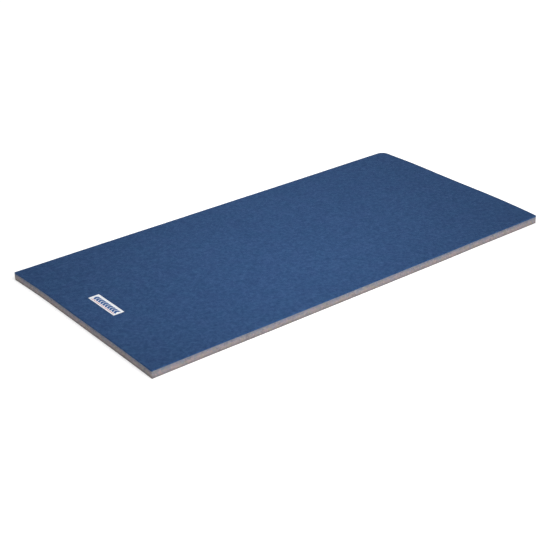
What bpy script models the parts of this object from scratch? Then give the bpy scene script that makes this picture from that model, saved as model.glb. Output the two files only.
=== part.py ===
"""Landing mat: a slab of composite foam with a needle-felt carpet bonded on top, an
anti-slip sheet bonded underneath and a woven label sewn to the carpet near one short end.

The mat lies flat with its long side along X and its underside on z = 0. The origin is the
centre of the underside. The two corners at the +X end are rounded and the two at the -X
end are square. The layers are listed from the floor up, with a clearance of GAP between
each and the next. Units are metres, +Z is up.
"""

import math

import bmesh
import bpy
from mathutils import Matrix, Vector

# ---------------------------------------------------------------- driving dimensions
LENGTH = 2.000  # along X
WIDTH = 1.000  # along Y
CORNER_R = 0.042  # the two corners at the +X end
CORNER_SEGMENTS = 14

GAP = 0.0003  # clearance between touching pieces

BASE_T = 0.0010  # anti-slip sheet
BASE_FILM_T = 0.0004  # adhesive film under the core
CORE_T = 0.0256  # composite foam
CARPET_FILM_T = 0.0004  # adhesive film over the core
BACKING_T = 0.0010  # binder coat on the back of the carpet
PILE_TOP = 0.0350  # walking surface of the carpet

LABEL_W = 0.047  # label, across the mat's length (X)
LABEL_L = 0.185  # label, along the mat's width (Y)
LABEL_T = 0.0006
LABEL_R = 0.0015  # its heat-cut corners
LABEL_X = -0.8662  # centre of the label
LABEL_Y = 0.018
LABEL_SINK = 0.0009  # the seam pulls the label's underside this far below the pile's face

THREAD_D = 0.0004  # needle thread and bobbin thread
SEAM_INSET = 0.0030  # from the label's edge to the seam
SEAM_R = 0.0020  # the seam's turn at each corner
GROOVE_DEPTH = 0.0007  # in the underside of the carpet's back coat, for the bobbin thread

# ---------------------------------------------------------------- levels, floor up
BASE_Z0 = 0.0
BASE_Z1 = BASE_Z0 + BASE_T
BASE_FILM_Z0 = BASE_Z1 + GAP
BASE_FILM_Z1 = BASE_FILM_Z0 + BASE_FILM_T
CORE_Z0 = BASE_FILM_Z1 + GAP
CORE_Z1 = CORE_Z0 + CORE_T
CARPET_FILM_Z0 = CORE_Z1 + GAP
CARPET_FILM_Z1 = CARPET_FILM_Z0 + CARPET_FILM_T
BACKING_Z0 = CARPET_FILM_Z1 + GAP
BACKING_Z1 = BACKING_Z0 + BACKING_T
PILE_Z0 = BACKING_Z1 + GAP
PILE_Z1 = PILE_TOP
LABEL_Z0 = PILE_Z1 - LABEL_SINK
LABEL_Z1 = LABEL_Z0 + LABEL_T
POCKET_Z0 = LABEL_Z0 - GAP
NEEDLE_Z = LABEL_Z1 + GAP + THREAD_D / 2
BOBBIN_Z = BACKING_Z0 + THREAD_D / 2


# ---------------------------------------------------------------- scene and collections
for old in list(bpy.data.objects):
    bpy.data.objects.remove(old)

mat_collection = bpy.data.collections.new("landing_mat")
cutter_collection = bpy.data.collections.new("landing_mat_cutters")
bpy.context.scene.collection.children.link(mat_collection)
bpy.context.scene.collection.children.link(cutter_collection)

root = bpy.data.objects.new("landing_mat_origin", None)
root.empty_display_size = 0.1
mat_collection.objects.link(root)


def principled(name, colour, roughness, metallic=0.0):
    """A Principled material; colour is linear RGB."""
    material = bpy.data.materials.new(name)
    material.use_nodes = True
    shader = material.node_tree.nodes["Principled BSDF"]
    shader.inputs["Base Color"].default_value = (*colour, 1.0)
    shader.inputs["Roughness"].default_value = roughness
    shader.inputs["Metallic"].default_value = metallic
    return material


def add_object(name, data, collection, material=None, parent=None):
    obj = bpy.data.objects.new(name, data)
    collection.objects.link(obj)
    if material is not None:
        data.materials.append(material)
    if parent is not None:
        obj.parent = parent
    return obj


def mark_cutter(obj):
    obj.hide_render = True
    obj.display_type = "WIRE"


def slab_mesh(name, length, width, thickness, radius_plus_x=0.0, radius_all=0.0):
    """A flat slab centred on its own origin. radius_plus_x rounds the two upright edges at
    +X; radius_all rounds all four."""
    bm = bmesh.new()
    bmesh.ops.create_cube(
        bm, size=1.0, matrix=Matrix.Diagonal((length, width, thickness, 1.0))
    )
    radius = radius_all or radius_plus_x
    if radius:
        upright = [
            e
            for e in bm.edges
            if abs(e.verts[0].co.z - e.verts[1].co.z) > thickness / 2
            and (radius_all or e.verts[0].co.x > 0)
        ]
        bmesh.ops.bevel(
            bm,
            geom=upright,
            offset=radius,
            offset_type="OFFSET",
            segments=CORNER_SEGMENTS if radius_plus_x else 3,
            profile=0.5,
            affect="EDGES",
        )
    bmesh.ops.recalc_face_normals(bm, faces=bm.faces)
    mesh = bpy.data.meshes.new(name)
    bm.to_mesh(mesh)
    bm.free()
    return mesh


def layer(name, z0, z1, material):
    """One full-size layer of the mat between two levels."""
    mesh = slab_mesh(name, LENGTH, WIDTH, z1 - z0, radius_plus_x=CORNER_R)
    obj = add_object(name, mesh, mat_collection, material, root)
    obj.location = (0.0, 0.0, (z0 + z1) / 2)
    mesh.shade_smooth()
    mesh.set_sharp_from_angle(angle=math.radians(30))
    return obj


def rounded_rectangle(length_x, length_y, radius, steps):
    """Points of a rectangle with round corners about the origin, counter-clockwise."""
    points = []
    for corner, (sx, sy) in enumerate(((1, 1), (-1, 1), (-1, -1), (1, -1))):
        cx = sx * (length_x / 2 - radius)
        cy = sy * (length_y / 2 - radius)
        for i in range(steps + 1):
            a = math.radians(90.0 * (corner + i / steps))
            points.append((cx + radius * math.cos(a), cy + radius * math.sin(a)))
    return points


def add_spline(curve, points):
    spline = curve.splines.new("POLY")
    spline.points.add(len(points) - 1)
    for p, (x, y) in zip(spline.points, points):
        p.co = (x, y, 0.0, 1.0)
    spline.use_cyclic_u = True


def seam_ring(name, z, material):
    """The thread of the label's seam: one closed loop of round thread."""
    curve = bpy.data.curves.new(name, "CURVE")
    curve.dimensions = "3D"
    curve.bevel_depth = THREAD_D / 2
    curve.bevel_resolution = 2
    curve.use_fill_caps = True
    add_spline(
        curve,
        rounded_rectangle(
            LABEL_W - 2 * SEAM_INSET, LABEL_L - 2 * SEAM_INSET, SEAM_R, 5
        ),
    )
    obj = add_object(name, curve, mat_collection, material, root)
    obj.location = (LABEL_X, LABEL_Y, z)
    return obj


# ---------------------------------------------------------------- materials
base_mat = principled("anti_slip_sheet", (0.052, 0.050, 0.051), 0.8)
film_mat = principled("adhesive_film", (0.27, 0.26, 0.24), 0.45)
core_mat = principled("composite_foam", (0.28, 0.26, 0.26), 0.95)
backing_mat = principled("carpet_binder", (0.12, 0.145, 0.18), 0.85)
pile_mat = principled("blue_needle_felt", (0.028, 0.070, 0.172), 0.97)
label_mat = principled("white_woven_label", (0.80, 0.80, 0.80), 0.6)
thread_mat = principled("white_sewing_thread", (0.78, 0.78, 0.78), 0.55)
bobbin_mat = principled("white_bobbin_thread", (0.72, 0.72, 0.72), 0.55)

# ---------------------------------------------------------------- layers, floor up
layer("anti_slip_base", BASE_Z0, BASE_Z1, base_mat)
layer("base_adhesive_film", BASE_FILM_Z0, BASE_FILM_Z1, film_mat)
layer("foam_core", CORE_Z0, CORE_Z1, core_mat)
layer("carpet_adhesive_film", CARPET_FILM_Z0, CARPET_FILM_Z1, film_mat.copy())
backing = layer("carpet_backing", BACKING_Z0, BACKING_Z1, backing_mat)
pile = layer("carpet_pile", PILE_Z0, PILE_Z1, pile_mat)

# The pocket that the sewn label presses into the pile, with clearance on every side.
pocket_depth = 0.004  # runs up past the pile's face
pocket = add_object(
    "cutter_label_pocket",
    slab_mesh(
        "cutter_label_pocket",
        LABEL_W + 2 * GAP,
        LABEL_L + 2 * GAP,
        pocket_depth,
        radius_all=LABEL_R + GAP,
    ),
    cutter_collection,
)
pocket.location = (LABEL_X, LABEL_Y, POCKET_Z0 + pocket_depth / 2)
mark_cutter(pocket)

cut = pile.modifiers.new("label_pocket", "BOOLEAN")
cut.operation = "DIFFERENCE"
cut.solver = "EXACT"
cut.object = pocket

# The groove under the carpet's back coat that the bobbin thread lies in: a flat ring, open
# downwards, made from an outer and an inner outline.
half_groove = THREAD_D / 2 + GAP
groove_cut_z0 = BACKING_Z0 - 0.001
groove_cut_z1 = BACKING_Z0 + GROOVE_DEPTH
groove_curve = bpy.data.curves.new("groove_outline", "CURVE")
groove_curve.dimensions = "2D"
groove_curve.fill_mode = "BOTH"
groove_curve.extrude = (groove_cut_z1 - groove_cut_z0) / 2
for side in (1, -1):
    add_spline(
        groove_curve,
        rounded_rectangle(
            LABEL_W - 2 * SEAM_INSET + 2 * side * half_groove,
            LABEL_L - 2 * SEAM_INSET + 2 * side * half_groove,
            SEAM_R + side * half_groove,
            5,
        ),
    )
outline = bpy.data.objects.new("groove_outline", groove_curve)
cutter_collection.objects.link(outline)
bpy.context.view_layer.update()
evaluated = outline.evaluated_get(bpy.context.evaluated_depsgraph_get())
groove_mesh = bpy.data.meshes.new_from_object(evaluated)
groove_mesh.transform(outline.matrix_world)
bpy.data.objects.remove(outline)
bm = bmesh.new()
bm.from_mesh(groove_mesh)
bmesh.ops.remove_doubles(bm, verts=bm.verts, dist=0.00001)
bmesh.ops.recalc_face_normals(bm, faces=bm.faces)
bm.to_mesh(groove_mesh)
bm.free()
groove = add_object("cutter_bobbin_groove", groove_mesh, cutter_collection)
groove.location = Vector((LABEL_X, LABEL_Y, (groove_cut_z0 + groove_cut_z1) / 2))
mark_cutter(groove)

cut = backing.modifiers.new("bobbin_groove", "BOOLEAN")
cut.operation = "DIFFERENCE"
cut.solver = "EXACT"
cut.object = groove

# ---------------------------------------------------------------- label and its seam
label_mesh = slab_mesh("label_cloth", LABEL_W, LABEL_L, LABEL_T, radius_all=LABEL_R)
label = add_object("label_cloth", label_mesh, mat_collection, label_mat, root)
label.location = (LABEL_X, LABEL_Y, (LABEL_Z0 + LABEL_Z1) / 2)

seam_ring("label_needle_thread", NEEDLE_Z, thread_mat)
seam_ring("label_bobbin_thread", BOBBIN_Z, bobbin_mat)
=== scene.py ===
"""Looks of the landing mat: needle-felt carpet, composite foam, glue lines, studded
anti-slip sheet and the sewn label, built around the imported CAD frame. Metres, +Z up."""

import math

import bpy
import numpy as np
from mathutils import Matrix, Vector
from mathutils.geometry import delaunay_2d_cdt


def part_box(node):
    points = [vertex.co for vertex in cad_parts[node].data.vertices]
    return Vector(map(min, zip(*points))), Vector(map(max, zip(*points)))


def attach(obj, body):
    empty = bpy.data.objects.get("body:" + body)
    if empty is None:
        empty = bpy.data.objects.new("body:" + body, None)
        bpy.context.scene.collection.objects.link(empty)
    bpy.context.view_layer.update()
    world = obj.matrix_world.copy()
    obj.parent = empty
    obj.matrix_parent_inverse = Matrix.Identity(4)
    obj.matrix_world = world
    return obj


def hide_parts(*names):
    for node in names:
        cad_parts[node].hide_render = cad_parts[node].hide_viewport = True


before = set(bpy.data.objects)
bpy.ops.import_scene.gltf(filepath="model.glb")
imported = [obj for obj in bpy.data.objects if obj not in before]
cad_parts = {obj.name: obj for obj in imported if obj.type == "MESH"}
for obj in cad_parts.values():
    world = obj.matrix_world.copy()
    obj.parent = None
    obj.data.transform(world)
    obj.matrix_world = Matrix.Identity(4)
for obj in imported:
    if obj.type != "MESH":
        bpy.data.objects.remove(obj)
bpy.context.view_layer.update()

# ------------------------------------------------------------------ sizes, from the frame
pile_lo, pile_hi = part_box("carpet_pile")
back_lo, back_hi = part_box("carpet_backing")
film_lo, film_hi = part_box("carpet_adhesive_film")
core_lo, core_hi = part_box("foam_core")
bfilm_lo, bfilm_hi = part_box("base_adhesive_film")
base_lo, base_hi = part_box("anti_slip_base")
label_lo, label_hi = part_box("label_cloth")

HALF_L = pile_hi.x
HALF_W = pile_hi.y
R_BACK = 0.036  # the rounded corner at +X +Y
R_FRONT = 0.007  # and at +X -Y
R_SQUARE = 0.0024  # the two at -X are square, eased only by the felt's own thickness
TOP = pile_hi.z

# The layers meet in the looks: each meets the next half way across the CAD clearance.
Z_BASE = (base_hi.z + bfilm_lo.z) / 2
Z_BFILM = (bfilm_hi.z + core_lo.z) / 2
Z_CORE = (core_hi.z + film_lo.z) / 2
Z_FILM = (film_hi.z + back_lo.z) / 2
Z_BACK = (back_hi.z + pile_lo.z) / 2

ARRIS = 0.0022  # the felt's rolled top edge
LABEL_SEAM = 0.0030  # seam line, in from the label's edge


# ------------------------------------------------------------------ deterministic noise
def _hash(ix, iy, iz, seed):
    m = np.int64(0xFFFFFFFF)
    n = (
        ix * np.int64(374761393)
        + iy * np.int64(668265263)
        + iz * np.int64(2147483647)
        + np.int64(seed) * np.int64(974634777)
    ) & m
    n = ((n ^ (n >> 13)) * np.int64(1274126177)) & m
    n = ((n ^ (n >> 16)) * np.int64(1103515245)) & m
    n = n ^ (n >> 15)
    return n.astype(float) / 4294967295.0


def noise(x, y, z, cell, seed):
    """Smooth value noise from -1 to 1 whose features are about cell across."""
    p = [np.asarray(v, float) / cell for v in np.broadcast_arrays(x, y, z)]
    i = [np.floor(v).astype(np.int64) for v in p]
    f = [v - k for v, k in zip(p, i)]
    w = [t * t * t * (t * (t * 6 - 15) + 10) for t in f]
    out = 0.0
    for dx in (0, 1):
        for dy in (0, 1):
            for dz in (0, 1):
                h = _hash(i[0] + dx, i[1] + dy, i[2] + dz, seed)
                out = out + h * (
                    (w[0] if dx else 1 - w[0])
                    * (w[1] if dy else 1 - w[1])
                    * (w[2] if dz else 1 - w[2])
                )
    return out * 2 - 1


def flakes(x, y, z, cell, seed):
    """Nearest and second nearest flake centre: the flake's own random number and how far
    inside its border the point is, in metres."""
    p = [np.asarray(v, float) / cell for v in np.broadcast_arrays(x, y, z)]
    i = [np.floor(v).astype(np.int64) for v in p]
    d1 = np.full(p[0].shape, 9.0)
    d2 = np.full(p[0].shape, 9.0)
    own = np.zeros(p[0].shape)
    for dx in (-1, 0, 1):
        for dy in (-1, 0, 1):
            for dz in (-1, 0, 1):
                c = (i[0] + dx, i[1] + dy, i[2] + dz)
                q = [
                    c[k] + 0.1 + 0.8 * _hash(c[0], c[1], c[2], seed + 11 * k)
                    for k in range(3)
                ]
                d = np.sqrt(sum((q[k] - p[k]) ** 2 for k in range(3)))
                nearer = d < d1
                d2 = np.where(nearer, d1, np.minimum(d2, d))
                own = np.where(nearer, _hash(c[0], c[1], c[2], seed + 97), own)
                d1 = np.where(nearer, d, d1)
    return own, (d2 - d1) * cell / 2


def smooth(t):
    t = np.clip(t, 0.0, 1.0)
    return t * t * (3 - 2 * t)


# ------------------------------------------------------------------ mesh helpers
def make_object(name, verts, faces, material=None, smooth_angle=None, indices=None):
    mesh = bpy.data.meshes.new(name)
    mesh.from_pydata(
        np.asarray(verts).tolist(),
        [],
        faces if isinstance(faces, list) else faces.tolist(),
    )
    mesh.validate()
    obj = bpy.data.objects.new(name, mesh)
    bpy.context.scene.collection.objects.link(obj)
    for m in material if isinstance(material, (list, tuple)) else [material]:
        if m is not None:
            mesh.materials.append(m)
    if indices is not None:
        mesh.polygons.foreach_set("material_index", np.asarray(indices, np.int32))
    if smooth_angle is not None:
        mesh.shade_smooth()
        mesh.set_sharp_from_angle(angle=math.radians(smooth_angle))
    return obj


def spans(*parts):
    """Grid lines from (start, stop, step) stretches that follow one another."""
    out = [parts[0][0]]
    for a, b, step in parts:
        n = max(1, int(round((b - a) / step)))
        out += [a + (b - a) * k / n for k in range(1, n + 1)]
    return np.array(out)


def corner_of(x, y):
    """Corner radius and corner centre for the quarter of the mat that (x, y) is in."""
    r = np.where(x > 0, np.where(y > 0, R_BACK, R_FRONT), R_SQUARE)
    return r, np.sign(x) * (HALF_L - r), np.sign(y) * (HALF_W - r)


def cut_line(points):
    """The short ends aren't cut dead straight: the one at -X is hollow by a few millimetres
    between its corners, and the one at +X is a little full near +Y and falls back towards
    its corner at -Y. The long sides are full by a millimetre or two along their middle.
    Every layer was cut together, so all of them take the same line."""
    p = np.array(points, float)
    x, y = p[:, 0], p[:, 1]
    near = 1 - smooth((x + HALF_L) / 0.06)
    far = 1 - smooth((HALF_L - x) / 0.10)
    t = np.abs(y) / HALF_W
    flare = np.where(y > 0, 0.0083, 0.0019) * np.clip((t - 0.4) / 0.6, 0, None) ** 2
    fall = np.where(y < 0, 0.0180, 0.0) * np.clip((t - 0.28) / 0.72, 0, None) ** 2
    full = 0.0060 * np.exp(-(((y - 0.28) / 0.17) ** 2))
    p[:, 0] = x + near * (0.0040 - flare) + far * (full - fall)
    belly = 0.0022 * smooth((x + 0.80) / 0.40) * (1 - smooth((x - 0.40) / 0.22))
    swell = 0.0015 * np.exp(-(((x + 0.53) / 0.24) ** 2))
    p[:, 1] = y + (1 - smooth((HALF_W - y) / 0.10)) * swell - (1 - smooth((y + HALF_W) / 0.10)) * belly
    return p


def plan_grid(xs, ys, inset):
    """A rectangular grid bent so that its border follows the mat's outline, inset by
    inset: each corner square becomes a quarter of a disc. Returns x and y arrays."""
    X, Y = np.meshgrid(xs, ys, indexing="ij")
    r, cx, cy = corner_of(X, Y)
    r = r - inset
    u = (X - cx) * np.sign(X) / r
    v = (Y - cy) * np.sign(Y) / r
    inside = (u > 0) & (v > 0)
    u1, v1 = np.clip(u, 0, 1), np.clip(v, 0, 1)
    gx = cx + np.sign(X) * r * u1 * np.sqrt(1 - v1 * v1 / 2)
    gy = cy + np.sign(Y) * r * v1 * np.sqrt(1 - u1 * u1 / 2)
    return np.where(inside, gx, X), np.where(inside, gy, Y)


def border(nx, ny):
    """Indices of a grid's border vertices, counter-clockwise from above."""
    g = np.arange(nx * ny).reshape(nx, ny)
    return np.concatenate([g[:, 0], g[-1, 1:], g[-2::-1, -1], g[0, -2:0:-1]])


def border_normals(x, y):
    """Outward normals of outline points, whatever their inset."""
    r, cx, cy = corner_of(x, y)
    dx, dy = (x - cx) * np.sign(x), (y - cy) * np.sign(y)
    corner = (dx > 1e-7) & (dy > 1e-7)
    length = np.maximum(np.hypot(dx, dy), 1e-9)
    on_x_side = dx >= dy
    nx = np.where(corner, dx / length, np.where(on_x_side, 1.0, 0.0)) * np.sign(x)
    ny = np.where(corner, dy / length, np.where(on_x_side, 0.0, 1.0)) * np.sign(y)
    return nx, ny


def grid_quads(nx, ny, up=True):
    g = np.arange(nx * ny).reshape(nx, ny)
    q = np.stack([g[:-1, :-1], g[1:, :-1], g[1:, 1:], g[:-1, 1:]], -1).reshape(-1, 4)
    return q if up else q[:, ::-1]


def outline(step):
    """Points round the mat's outline, counter-clockwise, with their normals."""
    pts = []

    def straight(x0, y0, x1, y1, nx, ny):
        n = max(1, int(round(math.hypot(x1 - x0, y1 - y0) / step)))
        for k in range(n):
            t = k / n
            pts.append((x0 + (x1 - x0) * t, y0 + (y1 - y0) * t, nx, ny))

    def arc(cx, cy, r, a0, n):
        for k in range(n):
            a = math.radians(a0 + 90.0 * k / n)
            c, s = math.cos(a), math.sin(a)
            pts.append((cx + r * c, cy + r * s, c, s))

    front, big, small = R_FRONT, R_BACK, R_SQUARE
    straight(-HALF_L + small, -HALF_W, HALF_L - front, -HALF_W, 0, -1)
    arc(HALF_L - front, -HALF_W + front, front, -90, max(9, int(round(front * 1.57 / step))))
    straight(HALF_L, -HALF_W + front, HALF_L, HALF_W - big, 1, 0)
    arc(HALF_L - big, HALF_W - big, big, 0, max(14, int(round(big * 1.57 / step))))
    straight(HALF_L - big, HALF_W, -HALF_L + small, HALF_W, 0, 1)
    arc(-HALF_L + small, HALF_W - small, small, 90, 3)
    straight(-HALF_L, HALF_W - small, -HALF_L, -HALF_W + small, -1, 0)
    arc(-HALF_L + small, -HALF_W + small, small, 180, 3)
    return np.array(pts)


def depth_inside(x, y):
    """How far inside the mat's outline a point is."""
    r, cx, cy = corner_of(x, y)
    qx, qy = np.abs(x) - np.abs(cx), np.abs(y) - np.abs(cy)
    out = np.hypot(np.maximum(qx, 0), np.maximum(qy, 0))
    return r - out - np.minimum(np.maximum(qx, qy), 0)


def cap(ring, z, up):
    """A flat face over a closed ring of points, as well-shaped triangles that grow away
    from the ring. ring holds the points' numbers and their x and y. Returns the new inner
    points and the triangles; new points are numbered from ring's last."""
    ids, points, first_new = ring
    inner = []
    for inset, step in ((0.009, 0.009), (0.028, 0.024)):
        o = outline(step)
        q = o[:, :2] - o[:, 2:] * inset
        inner.append(q[depth_inside(q[:, 0], q[:, 1]) > inset * 0.9])
    gx, gy = np.meshgrid(
        np.linspace(-HALF_L + 0.07, HALF_L - 0.07, 38), np.linspace(-HALF_W + 0.07, HALF_W - 0.07, 18)
    )
    inner.append(np.stack([gx.ravel(), gy.ravel()], -1))
    inner = np.concatenate(inner)
    n = len(points)
    flat = [Vector(p) for p in np.concatenate([points, inner]).tolist()]
    loop = [(k, (k + 1) % n) for k in range(n)]
    out = delaunay_2d_cdt(flat, loop, [], 1, 1e-7)
    source = [o[0] for o in out[3]]
    number = [int(ids[k]) if k < n else first_new + k - n for k in source]
    place = [flat[k] for k in source]
    tris = []
    for a, b, c in out[2]:
        area = (place[b] - place[a]).cross(place[c] - place[a])
        if abs(area) < 1e-13:
            continue
        t = (number[a], number[b], number[c])
        tris.append(t if (area > 0) == up else t[::-1])
    return np.column_stack([inner, np.full(len(inner), z)]), tris


def layer(name, step, levels, offset, material):
    """A full-size layer as one closed solid: rings of outline points at each level, pushed
    out along the outline's normal by offset(x, y, z), with a flat face at each end."""
    o = outline(step)
    n = len(o)
    verts = []
    for z in levels:
        d = offset(o[:, 0], o[:, 1], np.full(n, z))
        verts.append(
            np.stack([o[:, 0] + o[:, 2] * d, o[:, 1] + o[:, 3] * d, np.full(n, z)], -1)
        )
    k = np.arange(n)
    faces = []
    for r in range(len(levels) - 1):
        a, b = r * n + k, r * n + (k + 1) % n
        faces += np.stack([a, b, b + n, a + n], -1).tolist()
    count = len(levels) * n
    for ids, z, side in ((k, levels[0], False), (count - n + k, levels[-1], True)):
        rim = verts[0 if not side else len(levels) - 1]
        new, tris = cap((ids, rim[:, :2], count), z, side)
        verts.append(new)
        faces += tris
        count += len(new)
    return make_object(name, cut_line(np.concatenate(verts)), faces, material, 50)


# ------------------------------------------------------------------ material helpers
class Nodes:
    """Short calls for building one material's node tree."""

    def __init__(self, name, roughness=0.9, specular=0.3, metallic=0.0):
        self.mat = bpy.data.materials.new(name)
        self.mat.use_nodes = True
        self.nt = self.mat.node_tree
        self.shader = self.nt.nodes["Principled BSDF"]
        self.shader.inputs["Roughness"].default_value = roughness
        self.shader.inputs["Specular IOR Level"].default_value = specular
        self.shader.inputs["Metallic"].default_value = metallic
        self.coords = self.nt.nodes.new("ShaderNodeTexCoord").outputs["Object"]

    def set(self, **values):
        for k, v in values.items():
            self.shader.inputs[k.replace("_", " ")].default_value = v

    def link(self, a, b):
        self.nt.links.new(a, b)

    def feed(self, socket, value):
        if isinstance(value, bpy.types.NodeSocket):
            self.link(value, socket)
        else:
            socket.default_value = value

    def mapped(self, scale=(1, 1, 1), rotation=(0, 0, 0), location=(0, 0, 0), vector=None):
        n = self.nt.nodes.new("ShaderNodeMapping")
        self.link(vector or self.coords, n.inputs["Vector"])
        n.inputs["Scale"].default_value = scale
        n.inputs["Rotation"].default_value = rotation
        n.inputs["Location"].default_value = location
        return n.outputs["Vector"]

    def noise(self, scale, detail=2.0, rough=0.5, distortion=0.0, vector=None):
        n = self.nt.nodes.new("ShaderNodeTexNoise")
        self.link(vector or self.coords, n.inputs["Vector"])
        n.inputs["Scale"].default_value = scale
        n.inputs["Detail"].default_value = detail
        n.inputs["Roughness"].default_value = rough
        n.inputs["Distortion"].default_value = distortion
        return n.outputs["Fac"]

    def warped(self, scale, amount, detail=2.0, vector=None):
        """Coordinates pushed about by noise, so that cells and lines lose their neatness."""
        n = self.nt.nodes.new("ShaderNodeTexNoise")
        self.link(vector or self.coords, n.inputs["Vector"])
        n.inputs["Scale"].default_value = scale
        n.inputs["Detail"].default_value = detail
        push = self.nt.nodes.new("ShaderNodeVectorMath")
        push.operation = "MULTIPLY_ADD"
        self.link(n.outputs["Color"], push.inputs[0])
        push.inputs[1].default_value = (amount,) * 3
        self.link(vector or self.coords, push.inputs[2])
        return push.outputs["Vector"]

    def fibres(self, angle, shift, length, width, thin):
        """Thin bright lines that run along one direction, each a little curly."""
        turned = self.mapped(rotation=(0, 0, angle), location=(shift, -shift, 0.3 * shift))
        n = self.noise(1.0, 2.0, 0.5, 0.7, self.mapped((1 / length, 1 / width, 1 / width), vector=turned))
        off = self.maths("ABSOLUTE", self.maths("SUBTRACT", n, 0.5))
        return self.spread(off, 0.0, thin, 1.0, 0.0)

    def voronoi(self, scale, feature="F1", randomness=1.0, vector=None):
        n = self.nt.nodes.new("ShaderNodeTexVoronoi")
        n.feature = feature
        self.link(vector or self.coords, n.inputs["Vector"])
        n.inputs["Scale"].default_value = scale
        n.inputs["Randomness"].default_value = randomness
        return n

    def maths(self, op, a, b=0.0, c=0.0, clamp=False):
        n = self.nt.nodes.new("ShaderNodeMath")
        n.operation = op
        n.use_clamp = clamp
        self.feed(n.inputs[0], a)
        self.feed(n.inputs[1], b)
        self.feed(n.inputs[2], c)
        return n.outputs[0]

    def spread(self, value, lo, hi, to_lo=0.0, to_hi=1.0):
        n = self.nt.nodes.new("ShaderNodeMapRange")
        self.feed(n.inputs["Value"], value)
        n.inputs["From Min"].default_value = lo
        n.inputs["From Max"].default_value = hi
        n.inputs["To Min"].default_value = to_lo
        n.inputs["To Max"].default_value = to_hi
        return n.outputs["Result"]

    def mix(self, factor, a, b, blend="MIX"):
        n = self.nt.nodes.new("ShaderNodeMix")
        n.data_type = "RGBA"
        n.blend_type = blend
        self.feed(n.inputs[0], factor)
        self.feed(n.inputs[6], (*a, 1.0) if isinstance(a, tuple) else a)
        self.feed(n.inputs[7], (*b, 1.0) if isinstance(b, tuple) else b)
        return n.outputs[2]

    def ramp(self, value, stops, interpolation="LINEAR"):
        n = self.nt.nodes.new("ShaderNodeValToRGB")
        self.feed(n.inputs["Fac"], value)
        n.color_ramp.interpolation = interpolation
        e = n.color_ramp.elements
        while len(e) < len(stops):
            e.new(0.5)
        for k, (pos, colour) in enumerate(stops):
            e[k].position = pos
            e[k].color = (*colour, 1.0)
        return n.outputs["Color"]

    def bump(self, height, strength, distance, normal=None):
        n = self.nt.nodes.new("ShaderNodeBump")
        self.link(height, n.inputs["Height"])
        n.inputs["Strength"].default_value = strength
        n.inputs["Distance"].default_value = distance
        if normal is not None:
            self.link(normal, n.inputs["Normal"])
        return n.outputs["Normal"]

    def finish(self, colour, normal=None, roughness=None):
        self.link(colour, self.shader.inputs["Base Color"])
        if normal is not None:
            self.link(normal, self.shader.inputs["Normal"])
        if roughness is not None:
            self.link(roughness, self.shader.inputs["Roughness"])
        return self.mat


def scaled(colour, k):
    return tuple(c * k for c in colour)


# ------------------------------------------------------------------ camera
FOCAL_PX = 1234.8  # for an image 550 across
AZ, EL, ROLL = -37.4419, 26.8843, -1.5362
DIST = 4.9631
LOOK_AT = Vector((-0.1833, -0.1518, 0.0))

az, el, roll = (math.radians(v) for v in (AZ, EL, ROLL))
back = Vector(
    (math.sin(az) * math.cos(el), -math.cos(az) * math.cos(el), math.sin(el))
)
right = Vector((math.cos(az), math.sin(az), 0.0))
up = back.cross(right)
right_r = right * math.cos(roll) + up * math.sin(roll)
up_r = up * math.cos(roll) - right * math.sin(roll)
camera = bpy.data.cameras.new("camera")
camera.sensor_width = 36.0
camera.lens = FOCAL_PX / 550.0 * 36.0
camera.clip_start, camera.clip_end = 0.05, 300.0
camera_object = bpy.data.objects.new("camera", camera)
bpy.context.scene.collection.objects.link(camera_object)
camera_object.matrix_world = Matrix.Translation(LOOK_AT + back * DIST) @ Matrix(
    (right_r, up_r, back)
).transposed().to_4x4()
bpy.context.scene.camera = camera_object

# ------------------------------------------------------------------ studio
world = bpy.data.worlds.new("studio")
bpy.context.scene.world = world
world.use_nodes = True
wn = world.node_tree
sky = wn.nodes["Background"]
sky.inputs["Color"].default_value = (0.98, 0.99, 1.0, 1.0)
sky.inputs["Strength"].default_value = 0.28
seen = wn.nodes.new("ShaderNodeBackground")
seen.inputs["Color"].default_value = (1.0, 1.0, 1.0, 1.0)
seen.inputs["Strength"].default_value = 1.0
path = wn.nodes.new("ShaderNodeLightPath")
choose = wn.nodes.new("ShaderNodeMixShader")
wn.links.new(path.outputs["Is Camera Ray"], choose.inputs[0])
wn.links.new(sky.outputs[0], choose.inputs[1])
wn.links.new(seen.outputs[0], choose.inputs[2])
wn.links.new(choose.outputs[0], wn.nodes["World Output"].inputs["Surface"])


def aim(obj, direction):
    obj.rotation_mode = "QUATERNION"
    obj.rotation_quaternion = Vector(direction).to_track_quat("Z", "Y")


# A broad low key from the front right lights the long near edge more than the short one.
key = bpy.data.lights.new("key", "SUN")
key.energy = 2.08
key.angle = math.radians(44)
key_object = bpy.data.objects.new("key", key)
bpy.context.scene.collection.objects.link(key_object)
aim(key_object, (0.0, -0.82, 0.574))

# Two round softboxes overhead give the carpet its gentle fall-off.
for name, place, power in (
    ("softbox_near", (-0.26, -0.35, 1.1), 7.3),
    ("softbox_far", (0.56, 0.35, 1.1), 3.3),
):
    soft = bpy.data.lights.new(name, "AREA")
    soft.shape = "DISK"
    soft.size = 0.9
    soft.energy = power
    soft_object = bpy.data.objects.new(name, soft)
    bpy.context.scene.collection.objects.link(soft_object)
    soft_object.location = place
    aim(soft_object, (0.0, 0.0, 1.0))
    soft_object.visible_camera = False

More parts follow.
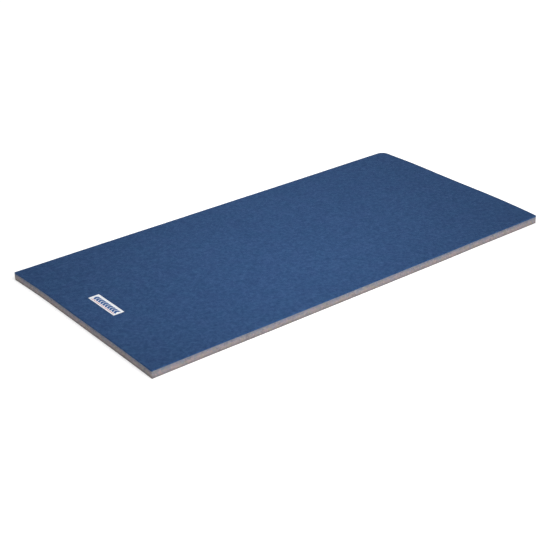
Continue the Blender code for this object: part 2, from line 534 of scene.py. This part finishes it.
floor_nodes = Nodes("studio_floor", roughness=0.85, specular=0.15)
floor_mat = floor_nodes.mat
floor_nodes.set(
    Base_Color=(0.93, 0.93, 0.93, 1.0),
    Emission_Color=(1.0, 1.0, 1.0, 1.0),
    Emission_Strength=0.46,  # a lit white sweep
)
floor_mesh = bpy.data.meshes.new("floor")
S = 60.0
floor_mesh.from_pydata(
    [(-S, -S, 0), (S, -S, 0), (S, S, 0), (-S, S, 0)], [], [(0, 1, 2, 3)]
)
floor_mesh.materials.append(floor_mat)
floor = bpy.data.objects.new("floor", floor_mesh)
floor.location.z = -0.0002
bpy.context.scene.collection.objects.link(floor)

bpy.context.scene.view_settings.view_transform = "Standard"
bpy.context.scene.view_settings.look = "None"

# ------------------------------------------------------------------ felt
FELT = (0.0226, 0.0609, 0.1560)


def felt_material(name, tone=1.0):
    """Needle-felt: fibres in every direction pulled into clumps, with a slow drift of hue between the
    fibre batches. Its tone mottles from clump to clump and is also lighter on the raised clump tops and
    darker between them, as painted highlight and shade; the needle pits carry painted shade."""
    m = Nodes(name, roughness=0.96, specular=0.10)
    base = scaled(FELT, tone)
    broad = m.noise(2.6, 2.0, 0.5)
    hue = m.noise(17.0, 2.0, 0.55)
    patch = m.noise(46.0, 2.0, 0.55, 0.3)
    clump = m.noise(75.0, 6.0, 0.53, 0.5)
    lint = m.noise(900.0, 3.0, 0.65, 1.2)
    # painted shade in the needle pits between these cells, painted highlight at their centres
    needle_pit_shade = m.voronoi(215.0, "SMOOTH_F1").outputs["Distance"]
    fibre = m.fibres(0.25, 0.0, 0.0060, 0.00095, 0.050)
    for turn, shift in ((1.00, 1.7), (1.75, 3.1), (2.55, 4.9)):
        fibre = m.maths("MAXIMUM", fibre, m.fibres(turn, shift, 0.0060, 0.00095, 0.050))
    value = m.spread(patch, 0.3, 0.7, -0.07, 0.07)
    # the clumps' own mottle plus painted highlight and shade: lighter where the clump bump is raised,
    # darker in its hollows
    value = m.maths("ADD", value, m.spread(clump, 0.3, 0.7, -0.46, 0.46))
    value = m.maths("ADD", value, m.spread(fibre, 0.0, 1.0, -0.28, 0.42))
    value = m.maths("ADD", value, m.spread(lint, 0.3, 0.7, -0.20, 0.16))
    value = m.maths("ADD", value, m.spread(needle_pit_shade, 0.1, 0.65, 0.05, -0.08))
    value = m.maths("ADD", value, m.spread(broad, 0.3, 0.7, -0.06, 0.06))
    colour = m.ramp(
        m.spread(value, -1.3, 1.3),
        [
            (0.0, (base[0] * 0.30, base[1] * 0.41, base[2] * 0.53)),
            (0.5, base),
            (1.0, (base[0] * 2.30, base[1] * 1.88, base[2] * 1.60)),
        ],
    )
    drift = m.ramp(hue, [(0.32, (1.05, 0.993, 1.01)), (0.68, (0.96, 1.01, 0.993))])
    colour = m.mix(1.0, colour, drift, "MULTIPLY")
    normal = m.bump(fibre, 0.5, 0.0003)
    normal = m.bump(clump, 0.32, 0.0014, normal)
    m.set(Sheen_Weight=0.06, Sheen_Roughness=0.5, Sheen_Tint=(0.45, 0.62, 1.0, 1.0))
    return m.finish(colour, normal)


felt_mat = felt_material("blue_needle_felt")

# ------------------------------------------------------------------ back coat and glue
m = Nodes("carpet_binder", roughness=0.8, specular=0.25)
spots = m.noise(700.0, 3.0, 0.6)
patch = m.noise(90.0, 2.0, 0.5)
colour = m.ramp(
    m.maths("ADD", m.spread(spots, 0.3, 0.7, 0.0, 0.7), m.spread(patch, 0.3, 0.7, 0.0, 0.3)),
    [(0.0, (0.060, 0.085, 0.125)), (0.6, (0.120, 0.145, 0.180)), (1.0, (0.20, 0.215, 0.235))],
)
binder_mat = m.finish(colour, m.bump(spots, 0.5, 0.0004))


def glue(name, tint):
    m = Nodes(name, roughness=0.45, specular=0.4)
    run = m.noise(60.0, 3.0, 0.6)
    bead = m.noise(420.0, 2.0, 0.5)
    colour = m.ramp(
        m.maths("ADD", m.spread(run, 0.3, 0.7, 0.0, 0.6), m.spread(bead, 0.3, 0.7, 0.0, 0.4)),
        [(0.0, scaled(tint, 0.6)), (0.5, tint), (1.0, scaled(tint, 1.35))],
    )
    rough = m.spread(bead, 0.3, 0.7, 0.35, 0.6)
    return m.finish(colour, m.bump(bead, 0.4, 0.0003), rough)


top_glue_mat = glue("carpet_glue", (0.27, 0.26, 0.24))
base_glue_mat = glue("base_glue", (0.20, 0.19, 0.175))

# ------------------------------------------------------------------ composite foam
m = Nodes("composite_foam", roughness=0.95, specular=0.18)
torn = m.warped(110.0, 0.0070, 2.0)
ragged_edge = m.warped(900.0, 0.0008, 2.0, torn)
big = m.voronoi(72.0, vector=ragged_edge)
small = m.voronoi(205.0, vector=ragged_edge)
crumb = m.voronoi(520.0, vector=ragged_edge)
big_pick = m.nt.nodes.new("ShaderNodeSeparateColor")
m.link(big.outputs["Color"], big_pick.inputs[0])
small_pick = m.nt.nodes.new("ShaderNodeSeparateColor")
m.link(small.outputs["Color"], small_pick.inputs[0])
tints = [
    (0.00, (0.199, 0.180, 0.190)),
    (0.12, (0.264, 0.230, 0.240)),
    (0.30, (0.303, 0.247, 0.269)),
    (0.46, (0.284, 0.256, 0.216)),
    (0.58, (0.238, 0.230, 0.266)),
    (0.70, (0.336, 0.264, 0.262)),
    (0.82, (0.216, 0.228, 0.243)),
    (0.92, (0.343, 0.305, 0.276)),
]
big_colour = m.ramp(big_pick.outputs[0], tints, "CONSTANT")
small_colour = m.ramp(small_pick.outputs[1], tints, "CONSTANT")
which = m.spread(small_pick.outputs[0], 0.55, 0.56)
colour = m.mix(which, big_colour, small_colour)
crumb_pick = m.nt.nodes.new("ShaderNodeSeparateColor")
m.link(crumb.outputs["Color"], crumb_pick.inputs[0])
crumb_colour = m.ramp(crumb_pick.outputs[1], tints, "CONSTANT")
colour = m.mix(m.spread(crumb_pick.outputs[0], 0.80, 0.81), colour, crumb_colour)
edge = m.voronoi(72.0, "DISTANCE_TO_EDGE", vector=ragged_edge)
# painted shade: darker along the creases where the flakes meet
flake_crease_shade = m.spread(edge.outputs["Distance"], 0.0, 0.045, 0.90, 1.0)
cell = m.noise(1300.0, 3.0, 0.7)
# painted shade in the pores and painted highlight on the raised cell walls, from the same noise as the
# bump
pore_shade_and_highlight = m.spread(cell, 0.36, 0.62, 0.66, 1.11)
shade = m.maths("MULTIPLY", flake_crease_shade, pore_shade_and_highlight)
grey = m.nt.nodes.new("ShaderNodeCombineColor")
for k in range(3):
    m.link(shade, grey.inputs[k])
colour = m.mix(1.0, colour, grey.outputs[0], "MULTIPLY")
# glue and blue lint have got into the cut face under the carpet; towards its foot the cut face is darkened
# with painted shade
height = m.nt.nodes.new("ShaderNodeSeparateXYZ")
m.link(m.coords, height.inputs[0])
ragged = m.maths("ADD", height.outputs["Z"], m.spread(m.noise(160.0, 2.0), 0.3, 0.7, -0.0016, 0.0016))
linty = m.ramp(
    m.spread(ragged, 0.0158, 0.0268),
    [(0.0, (1.0, 1.0, 1.0)), (0.5, (0.85, 0.91, 1.00)), (1.0, (0.68, 0.79, 0.98))],
)
colour = m.mix(1.0, colour, linty, "MULTIPLY")
# painted shade: the foam grows darker towards the floor, to about three quarters at its foot
foot_painted_shade = m.ramp(
    m.spread(ragged, 0.0, 0.0115),
    [(0.0, (0.74, 0.73, 0.73)), (0.45, (0.84, 0.83, 0.83)), (1.0, (1.0, 1.0, 1.0))],
)
colour = m.mix(1.0, colour, foot_painted_shade, "MULTIPLY")
normal = m.bump(cell, 0.6, 0.0005)
normal = m.bump(edge.outputs["Distance"], 0.25, 0.0008, normal)
foam_mat = m.finish(colour, normal)

# ------------------------------------------------------------------ anti-slip sheet
m = Nodes("anti_slip_sheet", roughness=0.8, specular=0.3)
grain = m.noise(900.0, 3.0, 0.6)
scuff = m.noise(9.0, 4.0, 0.6)
weave_a = m.nt.nodes.new("ShaderNodeTexWave")
weave_b = m.nt.nodes.new("ShaderNodeTexWave")
for w, direction in ((weave_a, "X"), (weave_b, "Y")):
    w.bands_direction = direction
    w.inputs["Scale"].default_value = 120.0
    w.inputs["Distortion"].default_value = 0.6
    m.link(m.coords, w.inputs["Vector"])
weave = m.maths("MULTIPLY", weave_a.outputs["Fac"], weave_b.outputs["Fac"])
colour = m.ramp(
    m.maths("ADD", m.spread(grain, 0.3, 0.7, 0.0, 0.6), m.spread(scuff, 0.35, 0.7, 0.0, 0.4)),
    [(0.0, (0.030, 0.029, 0.030)), (0.5, (0.052, 0.050, 0.051)), (1.0, (0.095, 0.092, 0.090))],
)
rough = m.spread(scuff, 0.3, 0.7, 0.68, 0.9)
normal = m.bump(weave, 0.4, 0.0003)
normal = m.bump(grain, 0.3, 0.0003, normal)
base_mat = m.finish(colour, normal, rough)

# ------------------------------------------------------------------ label cloth and threads
m = Nodes("white_woven_label", roughness=0.6, specular=0.35)
warp_t = m.nt.nodes.new("ShaderNodeTexWave")
weft_t = m.nt.nodes.new("ShaderNodeTexWave")
for w, direction, scale in ((warp_t, "X", 420.0), (weft_t, "Y", 520.0)):
    w.bands_direction = direction
    w.inputs["Scale"].default_value = scale
    w.inputs["Distortion"].default_value = 0.8
    w.inputs["Detail"].default_value = 1.0
    m.link(m.coords, w.inputs["Vector"])
cloth = m.maths("MULTIPLY", warp_t.outputs["Fac"], weft_t.outputs["Fac"])
dust = m.noise(160.0, 3.0, 0.6)
colour = m.ramp(
    m.maths("ADD", m.spread(cloth, 0.0, 1.0, 0.0, 0.55), m.spread(dust, 0.3, 0.7, 0.0, 0.45)),
    [(0.0, (0.82, 0.84, 0.875)), (0.5, (0.895, 0.91, 0.94)), (1.0, (0.935, 0.945, 0.96))],
)
m.set(Sheen_Weight=0.05, Sheen_Roughness=0.4)
label_mat = m.finish(colour, m.bump(cloth, 0.5, 0.00025))


def thread_material(name, colour, twist=2300.0):
    """Filament thread: fine twisted strands, with a painted highlight on their crowns."""
    m = Nodes(name, roughness=0.42, specular=0.45)
    w = m.nt.nodes.new("ShaderNodeTexWave")
    w.bands_direction = "DIAGONAL"
    w.inputs["Scale"].default_value = twist
    w.inputs["Distortion"].default_value = 1.2
    m.link(m.coords, w.inputs["Vector"])
    fray = m.noise(1300.0, 2.0, 0.5)
    # painted highlight: the strands are lighter where the twist's bump raises them
    c = m.ramp(
        m.maths("ADD", m.spread(w.outputs["Fac"], 0, 1, 0.0, 0.6), m.spread(fray, 0.3, 0.7, 0.0, 0.4)),
        [(0.0, scaled(colour, 0.62)), (0.5, colour), (1.0, scaled(colour, 1.25))],
    )
    m.set(Sheen_Weight=0.10, Sheen_Roughness=0.35)
    return m.finish(c, m.bump(w.outputs["Fac"], 0.4, 0.00012))


seam_mat = thread_material("white_seam_thread", (0.70, 0.71, 0.73))
bobbin_mat = thread_material("white_bobbin_thread", (0.64, 0.65, 0.67))
navy_mat = thread_material("navy_motif_thread", (0.026, 0.098, 0.285))
red_mat = thread_material("red_motif_thread", (0.62, 0.020, 0.045))

# ------------------------------------------------------------------ carpet pile
LCX, LCY = (label_lo.x + label_hi.x) / 2, (label_lo.y + label_hi.y) / 2
LHX, LHY = (label_hi.x - label_lo.x) / 2, (label_hi.y - label_lo.y) / 2
SINK = TOP - label_lo.z


def label_distance(x, y):
    """How far outside the label's outline a point is; negative inside it."""
    dx, dy = np.abs(x - LCX) - LHX, np.abs(y - LCY) - LHY
    outside = np.hypot(np.maximum(dx, 0), np.maximum(dy, 0))
    return outside + np.minimum(np.maximum(dx, dy), 0)


def felt_height(x, y):
    """The pile's face over its nominal level: needled lumps, the slab's slow waviness, the
    softening towards its edges and the bed that the sewn label has pressed."""
    h = 0.00013 * noise(x, y, 0, 0.0085, 3)
    h += 0.00009 * noise(x, y, 0, 0.0140, 5)
    h += 0.00008 * (_hash((x * 1e5).astype(np.int64), (y * 1e5).astype(np.int64), np.int64(0), 7) * 2 - 1)
    h += 0.00016 * noise(x, y, 0, 0.060, 9)
    h += 0.00040 * noise(x, y, 0, 0.420, 13)
    d = label_distance(x, y)
    h *= smooth((d - 0.0010) / 0.0300)
    h -= (SINK + 0.00045) * (1 - smooth((d - 0.0004) / 0.0034))
    h += 0.00022 * smooth((d - 0.0012) / 0.0020) * (1 - smooth((d - 0.0034) / 0.0060))
    return h


def edge_waver(x, y, z, seed):
    """A hand-trimmed edge: slow waver with small nicks, in metres along the normal."""
    return (
        0.00028 * noise(x, y, 0, 0.210, seed)
        + 0.00016 * noise(x, y, 0, 0.034, seed + 1)
        + 0.00013 * noise(x, y, z, 0.0060, seed + 2)
    )


A = ARRIS
RB, RF, RJ = R_BACK - A, R_FRONT - A, R_SQUARE - A
C = 0.0055  # the grid's open spacing
F = 0.0016  # and where the label beds into the pile
M = 0.009
gx = spans(
    (-HALF_L + A, -HALF_L + A + RJ, RJ / 2),
    (-HALF_L + A + RJ, label_lo.x - M, C),
    (label_lo.x - M, label_hi.x + M, F),
    (label_hi.x + M, HALF_L - A - RB, C),
    (HALF_L - A - RB, HALF_L - A - RF, (RB - RF) / 8),
    (HALF_L - A - RF, HALF_L - A, RF / 7),
)
gy = spans(
    (-HALF_W + A, -HALF_W + A + RJ, RJ / 2),
    (-HALF_W + A + RJ, -HALF_W + A + RF, RF / 7),
    (-HALF_W + A + RF, label_lo.y - M, C),
    (label_lo.y - M, label_lo.y + M / 2, F),
    (label_lo.y + M / 2, label_hi.y - M / 2, C),
    (label_hi.y - M / 2, label_hi.y + M, F),
    (label_hi.y + M, HALF_W - A - RB, C),
    (HALF_W - A - RB, HALF_W - A - RJ, RB / 12),
    (HALF_W - A - RJ, HALF_W - A, RJ / 2),
)
X, Y = plan_grid(gx, gy, A)
nx, ny = X.shape
bx, by = X.ravel(), Y.ravel()
ring = border(nx, ny)
top_z = TOP + felt_height(bx, by)
verts = [np.stack([bx, by, top_z], -1)]
rx, ry, rz = bx[ring], by[ring], top_z[ring]
ex, ey = border_normals(rx, ry)
n = len(ring)
faces = grid_quads(nx, ny).tolist()
previous = ring
count = nx * ny
levels = [(A * math.sin(t), A * (1 - math.cos(t))) for t in np.radians((30, 60, 90))]
wall = [0.0034, 0.0047, TOP - Z_BACK]
levels += [(A, w) for w in wall]
for out, down in levels:
    fade = min(1.0, down / A)
    z = rz * (1 - fade) + TOP * fade - down
    push = out + fade * (
        edge_waver(rx, ry, z, 21) + 0.00022 * math.sin(min(1.0, down / 0.0045) * math.pi)
    )
    verts.append(np.stack([rx + ex * push, ry + ey * push, z], -1))
    current = count + np.arange(n)
    a, b = previous, np.roll(previous, -1)
    c, d = current, np.roll(current, -1)
    faces += np.stack([c, d, b, a], -1).tolist()
    previous = current
    count += n
new, tris = cap((previous, verts[-1][:, :2], count), Z_BACK, False)
verts.append(new)
faces += tris
carpet = make_object("carpet_felt", cut_line(np.concatenate(verts)), faces, felt_mat, 60)

# ------------------------------------------------------------------ layers under the pile
backing = layer(
    "carpet_back_coat",
    0.006,
    [Z_FILM, Z_BACK],
    lambda x, y, z: edge_waver(x, y, 0, 21) - 0.00012 + 0.00008 * noise(x, y, z, 0.004, 31),
    binder_mat,
)
top_glue = layer(
    "carpet_glue_line",
    0.006,
    [Z_CORE, Z_FILM],
    lambda x, y, z: edge_waver(x, y, 0, 21) - 0.00035 + 0.00022 * noise(x, y, z, 0.012, 37),
    top_glue_mat,
)


def foam_offset(x, y, z):
    """A band-saw cut through bonded flakes: each flake stands a little proud or sunk, with
    a shallow crease where flakes meet, and the cut wanders slowly along each side."""
    own, inside = flakes(x, y, z, 0.0118, 41)
    h = 0.00026 * (own - 0.5) * 2 * smooth(inside / 0.0022)
    h -= 0.00012 * (1 - smooth(inside / 0.0012))
    h += 0.00045 * noise(x, y, 0, 0.260, 43) + 0.00010 * noise(x, y, z, 0.0045, 47)
    return h


core_levels = [Z_BFILM, Z_BFILM + 0.0005]
core_levels += list(np.linspace(Z_BFILM, Z_CORE, 12)[1:-1])
core_levels += [Z_CORE - 0.0005, Z_CORE]
foam = layer("foam_slab", 0.0030, core_levels, foam_offset, foam_mat)
bottom_glue = layer(
    "base_glue_line",
    0.006,
    [Z_BASE, Z_BFILM],
    lambda x, y, z: -0.00030 + 0.00022 * noise(x, y, z, 0.012, 53),
    base_glue_mat,
)

# ------------------------------------------------------------------ studded anti-slip sheet
PITCH = 0.0172
STUD_H = 0.0005
sx = spans(
    (-HALF_L, -HALF_L + R_SQUARE, R_SQUARE),
    (-HALF_L + R_SQUARE, HALF_L - R_BACK, PITCH),
    (HALF_L - R_BACK, HALF_L - R_FRONT, 0.010),
    (HALF_L - R_FRONT, HALF_L, R_FRONT / 3),
)
sy = spans(
    (-HALF_W, -HALF_W + R_SQUARE, R_SQUARE),
    (-HALF_W + R_SQUARE, -HALF_W + R_FRONT, (R_FRONT - R_SQUARE) / 2),
    (-HALF_W + R_FRONT, HALF_W - R_BACK, PITCH),
    (HALF_W - R_BACK, HALF_W - R_SQUARE, (R_BACK - R_SQUARE) / 4),
    (HALF_W - R_SQUARE, HALF_W, R_SQUARE),
)
X, Y = plan_grid(sx, sy, 0.0)
nx, ny = X.shape
grid = np.stack([X, Y, np.full(X.shape, STUD_H)], -1).reshape(-1, 3)
cells = grid_quads(nx, ny)
corners = grid[cells]
centre = corners.mean(1, keepdims=True)
big_enough = np.ptp(corners[:, :, 0], 1) * np.ptp(corners[:, :, 1], 1) > 1.2e-4
verts, faces = [grid], cells[~big_enough][:, ::-1].tolist()
cells, corners, centre = cells[big_enough], corners[big_enough], centre[big_enough]
count = len(grid)
loops = [cells]
for shrink, z in ((0.62, STUD_H), (0.50, STUD_H * 0.30), (0.40, 0.0)):
    loop = centre + (corners - centre) * shrink
    loop[:, :, 2] = z
    verts.append(loop.reshape(-1, 3))
    loops.append(count + np.arange(loop.shape[0] * 4).reshape(-1, 4))
    count += loop.shape[0] * 4
for outer, inner in zip(loops, loops[1:]):
    for k in range(4):
        j = (k + 1) % 4
        faces += np.stack([inner[:, k], inner[:, j], outer[:, j], outer[:, k]], -1).tolist()
faces += loops[-1][:, ::-1].tolist()
ring = border(nx, ny)
rim = grid[ring].copy()
rim[:, 2] = Z_BASE
verts.append(rim)
upper = count + np.arange(len(ring))
faces += np.stack([ring, np.roll(ring, -1), np.roll(upper, -1), upper], -1).tolist()
new, tris = cap((upper, rim[:, :2], count + len(ring)), Z_BASE, True)
verts.append(new)
faces += tris
sheet = make_object(
    "anti_slip_studded_sheet", cut_line(np.concatenate(verts)), faces, base_mat, 35
)

# ------------------------------------------------------------------ label
L_T = label_hi.z - label_lo.z
lx = spans(
    (-LHX, -LHX + 0.0012, 0.0006), (-LHX + 0.0012, LHX - 0.0012, 0.0010), (LHX - 0.0012, LHX, 0.0006)
)
ly = spans(
    (-LHY, -LHY + 0.0012, 0.0006), (-LHY + 0.0012, LHY - 0.0012, 0.0012), (LHY - 0.0012, LHY, 0.0006)
)


def label_rise(x, y):
    """The cloth's lie: drawn down along its seam, lifting a little at the rim outside it
    and between stitches, and slightly full over the middle. Local to the label."""
    dx, dy = LHX - np.abs(x), LHY - np.abs(y)
    d = np.minimum(dx, dy)
    seam = np.exp(-(((d - LABEL_SEAM) / 0.0011) ** 2))
    run = np.where(dx < dy, y, x)
    tug = 0.55 + 0.45 * np.cos(run / 0.0033 * 2 * math.pi)
    rise = -0.00030 * seam * tug
    rise += 0.00018 * (1 - smooth(d / 0.0024))
    rise += 0.00042 * smooth((d - 0.0035) / 0.016)
    rise += 0.00007 * noise(x + 3, y, 0, 0.011, 61) * smooth(d / 0.004)
    return rise


def label_top(x, y):
    return label_lo.z + L_T + label_rise(x, y)


X, Y = np.meshgrid(lx, ly, indexing="ij")
# the heat-cut corners are eased
ease = 0.0012
u = np.clip((np.abs(X) - (LHX - ease)) / ease, 0, 1)
v = np.clip((np.abs(Y) - (LHY - ease)) / ease, 0, 1)
X2 = np.sign(X) * np.where(u > 0, LHX - ease + ease * u * np.sqrt(1 - v * v / 2), np.abs(X))
Y2 = np.sign(Y) * np.where(v > 0, LHY - ease + ease * v * np.sqrt(1 - u * u / 2), np.abs(Y))
nx, ny = X.shape
ring = border(nx, ny)
x, y = X2.ravel(), Y2.ravel()
rise = label_rise(x, y)
top = np.stack([x + LCX, y + LCY, label_lo.z + L_T + rise], -1)
bottom = np.stack([x + LCX, y + LCY, label_lo.z + rise * 0.8], -1)
mid = (top[ring] + bottom[ring]) / 2
mid[:, 0] += np.sign(x[ring]) * (np.abs(x[ring]) > LHX - 1e-5) * 0.00012
mid[:, 1] += np.sign(y[ring]) * (np.abs(y[ring]) > LHY - 1e-5) * 0.00012
n0, nr = nx * ny, len(ring)
faces = grid_quads(nx, ny).tolist() + (grid_quads(nx, ny, up=False) + n0).tolist()
mids = 2 * n0 + np.arange(nr)
for a, b in ((ring + n0, mids), (mids, ring)):
    faces += np.stack([a, np.roll(a, -1), np.roll(b, -1), b], -1).tolist()
label = make_object("label_woven_cloth", np.concatenate([top, bottom, mid]), faces, label_mat, 50)

# Satin-stitched motif: a plain row of navy arrowheads and one thin red rule beside it, each
# of parallel floats of thread.
def satin(rows, us, vs, place, floats, height, seed, up):
    """One block of satin stitch as a closed solid: place(U, V) gives its points on the label,
    floats is the number of threads side by side along U."""
    verts, faces = rows
    count = sum(len(v) for v in verts)
    U, V = np.meshgrid(us, vs, indexing="ij")
    x, y, crown = place(U, V)
    strand = 0.62 + 0.38 * np.abs(np.sin(U * floats * math.pi))
    thread = _hash(np.floor(U * floats - 1e-6).astype(np.int64), np.int64(seed), np.int64(0), 71)
    ground = label_top(x, y)
    rise = height * crown * strand * (0.85 + 0.3 * thread)
    t = np.stack([x + LCX, y + LCY, ground + rise + 0.00002], -1).reshape(-1, 3)
    b = np.stack([x + LCX, y + LCY, ground - 0.00014], -1).reshape(-1, 3)
    a, c = U.shape
    r = border(a, c)
    n0 = a * c
    q = grid_quads(a, c, up=up) + count
    faces += q.tolist() + (grid_quads(a, c, up=not up) + count + n0).tolist()
    ring = np.stack([r, np.roll(r, -1), np.roll(r, -1) + n0, r + n0], -1)
    faces += ((ring if not up else ring[:, ::-1]) + count).tolist()
    verts += [t, b]
    return 2 * len(q) + len(r)


verts, faces, slots = [], [], []
MARKS, MARK_W, MARK_HALF, MARK_SLANT = 10, 0.0128, 0.0120, 0.62
pitch = 0.01633
across = np.array([-1.0, -0.95, -0.8, -0.45, -0.12, -0.03, 0.03, 0.12, 0.45, 0.8, 0.95, 1.0])
for k in range(MARKS):
    start = (k - (MARKS - 1) / 2) * pitch - MARK_W / 2 + MARK_HALF * MARK_SLANT / 2 - 0.0015

    def place(U, V):
        crown = np.sqrt(np.clip(1 - (2 * np.abs(V) - 1) ** 6, 0, 1))
        return V * MARK_HALF + 0.0006, start + U * MARK_W - np.abs(V) * MARK_HALF * MARK_SLANT, crown

    floats = 11
    n = satin((verts, faces), np.linspace(0, 1, floats * 4 + 1), across, place, floats, 0.00034, k, False)
    slots += [0] * n


def place(U, V):
    crown = np.sqrt(np.clip(1 - V**4, 0, 1))
    return V * 0.0011 - 0.0160, (U - 0.5) * 0.1640 - 0.0015, crown


floats = 170
n = satin((verts, faces), np.linspace(0, 1, floats * 2 + 1), np.array([-1, -0.7, 0, 0.7, 1.0]), place, floats, 0.00030, 99, False)
slots += [1] * n
motif = make_object("label_stitched_motif", np.concatenate(verts), faces, [navy_mat, red_mat], 60, slots)


# Seam stitches: short floats of round thread that dive into the cloth at both ends.
def seam_stitches(name, inset, pitch, radius, height_at, crown, material):
    hx, hy = LHX - inset, LHY - inset
    runs = [((-hx, -hy), (hx, -hy)), ((hx, -hy), (hx, hy)), ((hx, hy), (-hx, hy)), ((-hx, hy), (-hx, -hy))]
    verts, faces, count = [], [], 0
    sides, steps = 8, 8
    for r, (p, q) in enumerate(runs):
        p, q = np.array(p), np.array(q)
        length = np.linalg.norm(q - p)
        number = int(round(length / pitch))
        along = (q - p) / length
        side = np.array([-along[1], along[0]])
        for k in range(number):
            wobble = (_hash(np.int64(k), np.int64(r), np.int64(0), 83) - 0.5) * 0.00022
            a = (k + 0.06) / number * length
            b = (k + 0.94) / number * length
            t = np.linspace(0, 1, steps + 1)
            s = a + (b - a) * t
            centre = p + along * s[:, None] + side * (wobble + 0.00010 * (t[:, None] - 0.5))
            arch = np.sin(t * math.pi) ** 0.55
            z = height_at(centre[:, 0], centre[:, 1]) + crown * (arch * 1.25 - 0.55)
            girth = radius * (0.72 + 0.28 * np.sin(t * math.pi) ** 0.5)
            for i in range(steps + 1):
                for j in range(sides):
                    g = 2 * math.pi * j / sides
                    off = side * math.cos(g) * girth[i]
                    verts.append((centre[i, 0] + off[0] + LCX, centre[i, 1] + off[1] + LCY, z[i] + math.sin(g) * girth[i]))
            for i in range(steps):
                for j in range(sides):
                    v0, v1 = count + i * sides + j, count + i * sides + (j + 1) % sides
                    faces.append((v0, v1, v1 + sides, v0 + sides))
            faces.append(tuple(count + j for j in range(sides))[::-1])
            faces.append(tuple(count + steps * sides + j for j in range(sides)))
            count += (steps + 1) * sides
    return make_object(name, verts, faces, material, 70)


seam = seam_stitches("label_seam_stitches", LABEL_SEAM, 0.0033, 0.00024, label_top, 0.00026, seam_mat)
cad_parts["label_bobbin_thread"].data.materials.clear()
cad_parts["label_bobbin_thread"].data.materials.append(bobbin_mat)

# ------------------------------------------------------------------ bodies, and hiding the CAD parts the pieces replace
for piece, nodes, slot in (
    (carpet, ["carpet_pile"], "blue_felt"),
    (backing, ["carpet_backing"], "carpet_binder"),
    (top_glue, ["carpet_adhesive_film"], "adhesive_film"),
    (foam, ["foam_core"], "composite_foam"),
    (bottom_glue, ["base_adhesive_film"], "adhesive_film"),
    (sheet, ["anti_slip_base"], "anti_slip_sheet"),
    (label, ["label_cloth"], "label_fabric"),
    (motif, [], "label_fabric"),
    (seam, ["label_needle_thread"], "white_thread"),
):
    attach(piece, "root")
    if nodes:
        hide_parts(*nodes)
